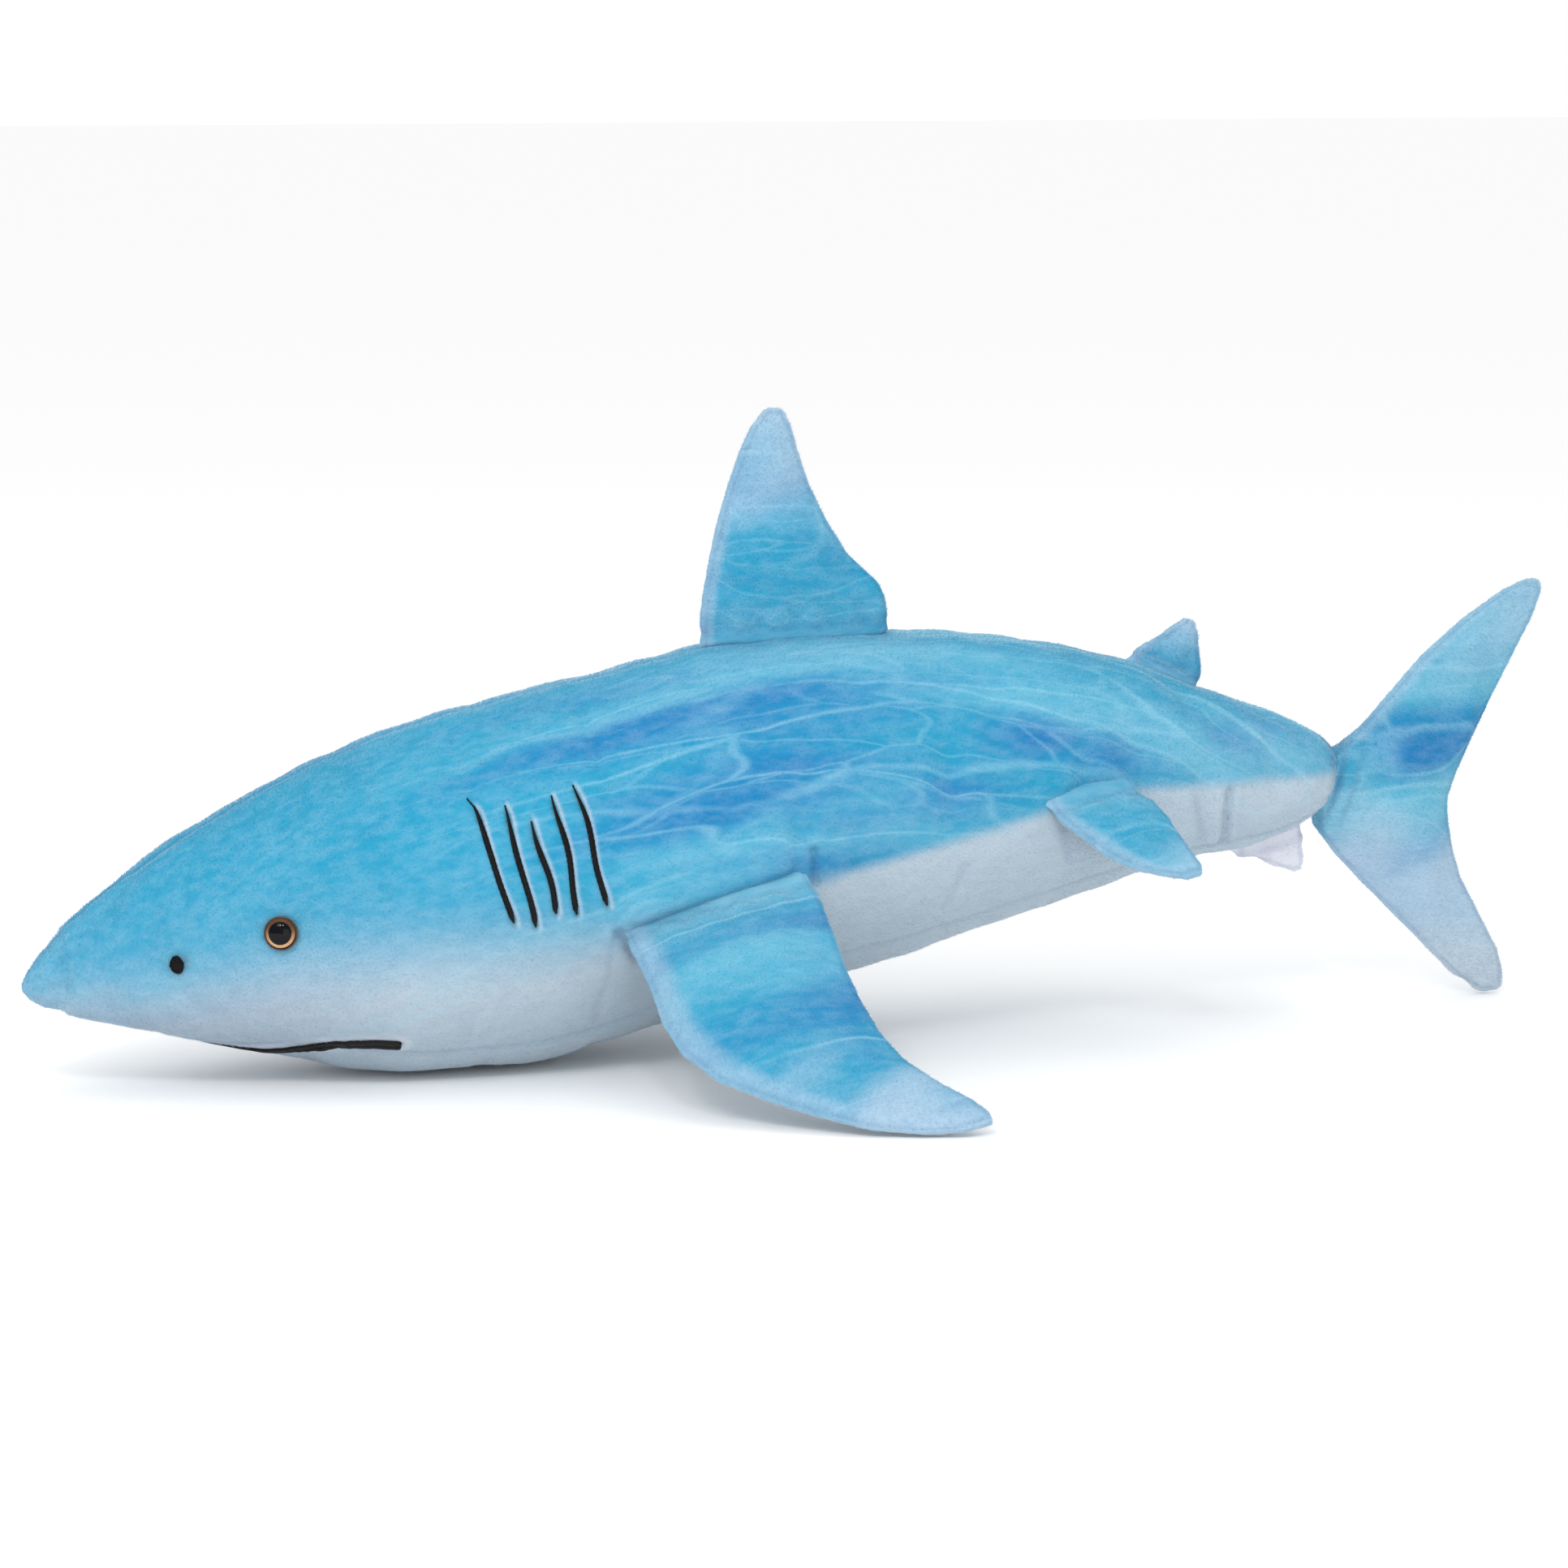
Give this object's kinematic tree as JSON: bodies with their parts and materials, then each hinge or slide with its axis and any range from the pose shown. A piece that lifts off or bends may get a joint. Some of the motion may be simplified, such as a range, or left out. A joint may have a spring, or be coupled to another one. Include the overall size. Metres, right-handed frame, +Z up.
{
  "type": "plush shark",
  "caption": "Stuffed plush shark with a printed blue back and a pale belly, sewn fins, a bending body and a swinging tail. It rests on its chest and pectoral fin tips.",
  "frame": {"origin": "middle of the ground under the shark as it rests on its chest and pectoral fin tips", "axes": "+Z up; the nose points to -X and the tail to +X; the left side is towards -Y"},
  "size_m": [1.002, 0.5744, 0.4002],
  "materials": {
    "printed_plush": "short velvety pile printed with pale water ripples on cyan and darker blue, soft sheen",
    "white_plush": "short velvety pile, off-white with a lavender shade",
    "polyester_fill": "loose polyester fibre",
    "eye_lens": "clear gloss dome over a black pupil and a bronze ring",
    "eye_cup": "moulded bronze plastic",
    "eye_washer": "plain moulded plastic",
    "black_thread": "black embroidery thread with a slight satin sheen"
  },
  "bodies": {
    "front_body": {"belly_panel_front": "white_plush", "eye_cup_left": "eye_cup", "eye_cup_right": "eye_cup", "eye_lens_left": "eye_lens", "eye_lens_right": "eye_lens", "eye_washer_left": "eye_washer", "eye_washer_right": "eye_washer", "gill_slit_left_1": "black_thread", "gill_slit_left_2": "black_thread", "gill_slit_left_3": "black_thread", "gill_slit_left_4": "black_thread", "gill_slit_left_5": "black_thread", "gill_slit_right_1": "black_thread", "gill_slit_right_2": "black_thread", "gill_slit_right_3": "black_thread", "gill_slit_right_4": "black_thread", "gill_slit_right_5": "black_thread", "mouth_stitching": "black_thread", "nostril_left": "black_thread", "nostril_right": "black_thread", "side_panel_left_front": "printed_plush", "side_panel_right_front": "printed_plush", "stuffing_front": "polyester_fill"},
    "rear_body": {"belly_panel_rear": "white_plush", "side_panel_left_rear": "printed_plush", "side_panel_right_rear": "printed_plush", "stuffing_rear": "polyester_fill"},
    "dorsal_fin": {"dorsal_fin_left_panel": "printed_plush", "dorsal_fin_right_panel": "printed_plush", "dorsal_fin_stuffing": "polyester_fill"},
    "second_dorsal_fin": {"second_dorsal_fin_left_panel": "printed_plush", "second_dorsal_fin_right_panel": "printed_plush", "second_dorsal_fin_stuffing": "polyester_fill"},
    "anal_fin": {"anal_fin_left_panel": "printed_plush", "anal_fin_right_panel": "printed_plush", "anal_fin_stuffing": "polyester_fill"},
    "tail_fin": {"tail_fin_left_panel": "printed_plush", "tail_fin_right_panel": "printed_plush", "tail_fin_stuffing": "polyester_fill"},
    "pectoral_fin_left": {"pectoral_fin_left_lower_panel": "white_plush", "pectoral_fin_left_stuffing": "polyester_fill", "pectoral_fin_left_upper_panel": "printed_plush"},
    "pectoral_fin_right": {"pectoral_fin_right_lower_panel": "white_plush", "pectoral_fin_right_stuffing": "polyester_fill", "pectoral_fin_right_upper_panel": "printed_plush"},
    "pelvic_fin_left": {"pelvic_fin_left_lower_panel": "white_plush", "pelvic_fin_left_stuffing": "polyester_fill", "pelvic_fin_left_upper_panel": "printed_plush"},
    "pelvic_fin_right": {"pelvic_fin_right_lower_panel": "white_plush", "pelvic_fin_right_stuffing": "polyester_fill", "pelvic_fin_right_upper_panel": "printed_plush"}
  },
  "joints": [
    {"name": "body_bend", "type": "hinge", "parent": "front_body", "child": "rear_body", "pos_m": [0.088, 0, 0.158], "axis": [0, 0, 1], "range_deg": [-18, 18], "stiffness_Nm_per_rad": 4},
    {"name": "tail_swing", "type": "hinge", "parent": "rear_body", "child": "tail_fin", "pos_m": [0.351, 0, 0.148], "axis": [0.2873, 0, 0.9578], "range_deg": [-40, 40], "stiffness_Nm_per_rad": 0.8},
    {"name": "dorsal_flop", "type": "hinge", "parent": "front_body", "child": "dorsal_fin", "pos_m": [-0.0762, 0, 0.2637], "axis": [1, 0, 0.0089], "range_deg": [-40, 40], "stiffness_Nm_per_rad": 0.4},
    {"name": "second_dorsal_flop", "type": "hinge", "parent": "rear_body", "child": "second_dorsal_fin", "pos_m": [0.2125, 0, 0.2378], "axis": [0.9267, 0, -0.3757], "range_deg": [-40, 40], "stiffness_Nm_per_rad": 0.06},
    {"name": "anal_flop", "type": "hinge", "parent": "rear_body", "child": "anal_fin", "pos_m": [0.2855, 0, 0.102], "axis": [0.9698, 0, 0.2439], "range_deg": [-40, 40], "stiffness_Nm_per_rad": 0.06},
    {"name": "pectoral_flap_left", "type": "hinge", "parent": "front_body", "child": "pectoral_fin_left", "pos_m": [-0.1556, -0.1095, 0.0928], "axis": [0.9756, 0, 0.2196], "range_deg": [-45, 20], "stiffness_Nm_per_rad": 4, "springref_deg": 6.88},
    {"name": "pectoral_flap_right", "type": "hinge", "parent": "front_body", "child": "pectoral_fin_right", "pos_m": [-0.1556, 0.1095, 0.0928], "axis": [-0.9756, 0, -0.2196], "range_deg": [-45, 20], "stiffness_Nm_per_rad": 4, "springref_deg": 6.88},
    {"name": "pelvic_flap_left", "type": "hinge", "parent": "rear_body", "child": "pelvic_fin_left", "pos_m": [0.1255, -0.0868, 0.1518], "axis": [0.9737, 0.1798, 0.14], "range_deg": [-40, 15], "stiffness_Nm_per_rad": 0.3},
    {"name": "pelvic_flap_right", "type": "hinge", "parent": "rear_body", "child": "pelvic_fin_right", "pos_m": [0.1255, 0.0868, 0.1518], "axis": [-0.9737, 0.1798, -0.14], "range_deg": [-40, 15], "stiffness_Nm_per_rad": 0.3}
  ]
}
